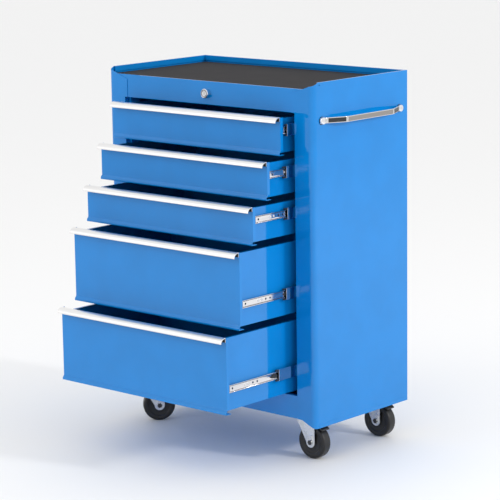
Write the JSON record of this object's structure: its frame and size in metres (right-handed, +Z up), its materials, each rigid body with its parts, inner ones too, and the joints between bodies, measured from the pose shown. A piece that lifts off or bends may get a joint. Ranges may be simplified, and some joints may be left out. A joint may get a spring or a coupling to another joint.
{
  "type": "rolling tool chest",
  "caption": "Upright steel tool chest on swivel casters, with pull-out drawers on ball-bearing slides, a lockable header, a matted top tray and a side push handle.",
  "frame": {"origin": "on the floor under the centre of the whole chest's box, with the drawers as they stand part open", "axes": "+Z up; -Y is the drawers' side, +Y the back; +X the side with the push handle"},
  "size_m": [0.6482, 0.5702, 0.848],
  "materials": {
    "blue_powder_coat": "glossy blue powder coat",
    "rail_satin": "satin anodised",
    "zinc_steel": "bright zinc plate",
    "lock_chrome": "polished chrome",
    "handle_chrome": "polished chrome",
    "mat_rubber": "matt grained liner",
    "wheel_black": "hard rubber, slight gloss",
    "pedal_plastic": "moulded black plastic"
  },
  "bodies": {
    "cabinet": {"side_panel_right": "blue_powder_coat", "side_panel_left": "blue_powder_coat", "back_panel": "blue_powder_coat", "top_deck": "blue_powder_coat", "top_mat": "mat_rubber", "bottom_pan": "blue_powder_coat", "slide_frame_right": "blue_powder_coat", "slide_frame_left": "blue_powder_coat", "lock_barrel": "lock_chrome", "side_handle": "handle_chrome", "caster_front_right_plate": "zinc_steel", "caster_rear_right_plate": "zinc_steel", "caster_front_left_plate": "zinc_steel", "caster_rear_left_plate": "zinc_steel"},
    "lock_plug": {"lock_plug": "lock_chrome"},
    "drawer_1": {"drawer_1_front": "blue_powder_coat", "drawer_1_rail": "rail_satin", "drawer_1_box": "blue_powder_coat", "drawer_1_slide_inner_right": "zinc_steel", "drawer_1_slide_inner_left": "zinc_steel"},
    "drawer_1_slides": {"drawer_1_slide_middle_right": "zinc_steel", "drawer_1_slide_middle_left": "zinc_steel"},
    "drawer_2": {"drawer_2_front": "blue_powder_coat", "drawer_2_rail": "rail_satin", "drawer_2_box": "blue_powder_coat", "drawer_2_slide_inner_right": "zinc_steel", "drawer_2_slide_inner_left": "zinc_steel"},
    "drawer_2_slides": {"drawer_2_slide_middle_right": "zinc_steel", "drawer_2_slide_middle_left": "zinc_steel"},
    "drawer_3": {"drawer_3_front": "blue_powder_coat", "drawer_3_rail": "rail_satin", "drawer_3_box": "blue_powder_coat", "drawer_3_slide_inner_right": "zinc_steel", "drawer_3_slide_inner_left": "zinc_steel"},
    "drawer_3_slides": {"drawer_3_slide_middle_right": "zinc_steel", "drawer_3_slide_middle_left": "zinc_steel"},
    "drawer_4": {"drawer_4_front": "blue_powder_coat", "drawer_4_rail": "rail_satin", "drawer_4_box": "blue_powder_coat", "drawer_4_slide_inner_right": "zinc_steel", "drawer_4_slide_inner_left": "zinc_steel"},
    "drawer_4_slides": {"drawer_4_slide_middle_right": "zinc_steel", "drawer_4_slide_middle_left": "zinc_steel"},
    "drawer_5": {"drawer_5_front": "blue_powder_coat", "drawer_5_rail": "rail_satin", "drawer_5_box": "blue_powder_coat", "drawer_5_slide_inner_right": "zinc_steel", "drawer_5_slide_inner_left": "zinc_steel"},
    "drawer_5_slides": {"drawer_5_slide_middle_right": "zinc_steel", "drawer_5_slide_middle_left": "zinc_steel"},
    "caster_front_right_fork": {"caster_front_right_fork": "zinc_steel"},
    "caster_front_right_wheel": {"caster_front_right_wheel": "wheel_black"},
    "caster_front_right_brake_pedal": {"caster_front_right_brake_pedal": "pedal_plastic"},
    "caster_rear_right_fork": {"caster_rear_right_fork": "zinc_steel"},
    "caster_rear_right_wheel": {"caster_rear_right_wheel": "wheel_black"},
    "caster_rear_right_brake_pedal": {"caster_rear_right_brake_pedal": "pedal_plastic"},
    "caster_front_left_fork": {"caster_front_left_fork": "zinc_steel"},
    "caster_front_left_wheel": {"caster_front_left_wheel": "wheel_black"},
    "caster_rear_left_fork": {"caster_rear_left_fork": "zinc_steel"},
    "caster_rear_left_wheel": {"caster_rear_left_wheel": "wheel_black"}
  },
  "joints": [
    {"name": "lock_turn", "type": "hinge", "parent": "cabinet", "child": "lock_plug", "pos_m": [-0.01415, -0.04485, 0.8065], "axis": [0, 1, 0], "range_deg": [0, 90]},
    {"name": "drawer_1_travel", "type": "slide", "parent": "cabinet", "child": "drawer_1", "axis": [0, -1, 0], "range_m": [-0.0408, 0.2092]},
    {"name": "drawer_1_slides_travel", "type": "slide", "parent": "cabinet", "child": "drawer_1_slides", "axis": [0, -1, 0], "range_m": [-0.0204, 0.1046]},
    {"name": "drawer_2_travel", "type": "slide", "parent": "cabinet", "child": "drawer_2", "axis": [0, -1, 0], "range_m": [-0.0855, 0.1645]},
    {"name": "drawer_2_slides_travel", "type": "slide", "parent": "cabinet", "child": "drawer_2_slides", "axis": [0, -1, 0], "range_m": [-0.04275, 0.08225]},
    {"name": "drawer_3_travel", "type": "slide", "parent": "cabinet", "child": "drawer_3", "axis": [0, -1, 0], "range_m": [-0.1332, 0.1168]},
    {"name": "drawer_3_slides_travel", "type": "slide", "parent": "cabinet", "child": "drawer_3_slides", "axis": [0, -1, 0], "range_m": [-0.0666, 0.0584]},
    {"name": "drawer_4_travel", "type": "slide", "parent": "cabinet", "child": "drawer_4", "axis": [0, -1, 0], "range_m": [-0.1785, 0.0715]},
    {"name": "drawer_4_slides_travel", "type": "slide", "parent": "cabinet", "child": "drawer_4_slides", "axis": [0, -1, 0], "range_m": [-0.08925, 0.03575]},
    {"name": "drawer_5_travel", "type": "slide", "parent": "cabinet", "child": "drawer_5", "axis": [0, -1, 0], "range_m": [-0.2243, 0.0257]},
    {"name": "drawer_5_slides_travel", "type": "slide", "parent": "cabinet", "child": "drawer_5_slides", "axis": [0, -1, 0], "range_m": [-0.11215, 0.01285]},
    {"name": "caster_front_right_swivel", "type": "hinge", "parent": "cabinet", "child": "caster_front_right_fork", "pos_m": [0.23185, 0.00615, 0.0982], "axis": [0, 0, 1], "continuous": true},
    {"name": "caster_front_right_roll", "type": "hinge", "parent": "caster_front_right_fork", "child": "caster_front_right_wheel", "pos_m": [0.24985, 0.00615, 0.038], "axis": [0, 1, 0], "continuous": true},
    {"name": "caster_front_right_brake", "type": "hinge", "parent": "caster_front_right_fork", "child": "caster_front_right_brake_pedal", "pos_m": [0.24585, 0.00615, 0.0815], "axis": [0, 1, 0], "range_deg": [0, 6]},
    {"name": "caster_rear_right_swivel", "type": "hinge", "parent": "cabinet", "child": "caster_rear_right_fork", "pos_m": [0.23185, 0.24015, 0.0982], "axis": [0, 0, 1], "continuous": true},
    {"name": "caster_rear_right_roll", "type": "hinge", "parent": "caster_rear_right_fork", "child": "caster_rear_right_wheel", "pos_m": [0.24985, 0.24015, 0.038], "axis": [0, 1, 0], "continuous": true},
    {"name": "caster_rear_right_brake", "type": "hinge", "parent": "caster_rear_right_fork", "child": "caster_rear_right_brake_pedal", "pos_m": [0.24585, 0.24015, 0.0815], "axis": [0, 1, 0], "range_deg": [0, 6]},
    {"name": "caster_front_left_swivel", "type": "hinge", "parent": "cabinet", "child": "caster_front_left_fork", "pos_m": [-0.26015, 0.00615, 0.0982], "axis": [0, 0, 1], "continuous": true},
    {"name": "caster_front_left_roll", "type": "hinge", "parent": "caster_front_left_fork", "child": "caster_front_left_wheel", "pos_m": [-0.24858, 0.01994, 0.038], "axis": [-0.766, 0.6428, 0], "continuous": true},
    {"name": "caster_rear_left_swivel", "type": "hinge", "parent": "cabinet", "child": "caster_rear_left_fork", "pos_m": [-0.26015, 0.24015, 0.0982], "axis": [0, 0, 1], "continuous": true},
    {"name": "caster_rear_left_roll", "type": "hinge", "parent": "caster_rear_left_fork", "child": "caster_rear_left_wheel", "pos_m": [-0.27394, 0.25172, 0.038], "axis": [-0.6428, -0.766, 0], "continuous": true}
  ],
  "couplings": [
    {"joint": "drawer_1_slides_travel", "follows": "drawer_1_travel", "ratio": 0.5},
    {"joint": "drawer_2_slides_travel", "follows": "drawer_2_travel", "ratio": 0.5},
    {"joint": "drawer_3_slides_travel", "follows": "drawer_3_travel", "ratio": 0.5},
    {"joint": "drawer_4_slides_travel", "follows": "drawer_4_travel", "ratio": 0.5},
    {"joint": "drawer_5_slides_travel", "follows": "drawer_5_travel", "ratio": 0.5}
  ]
}
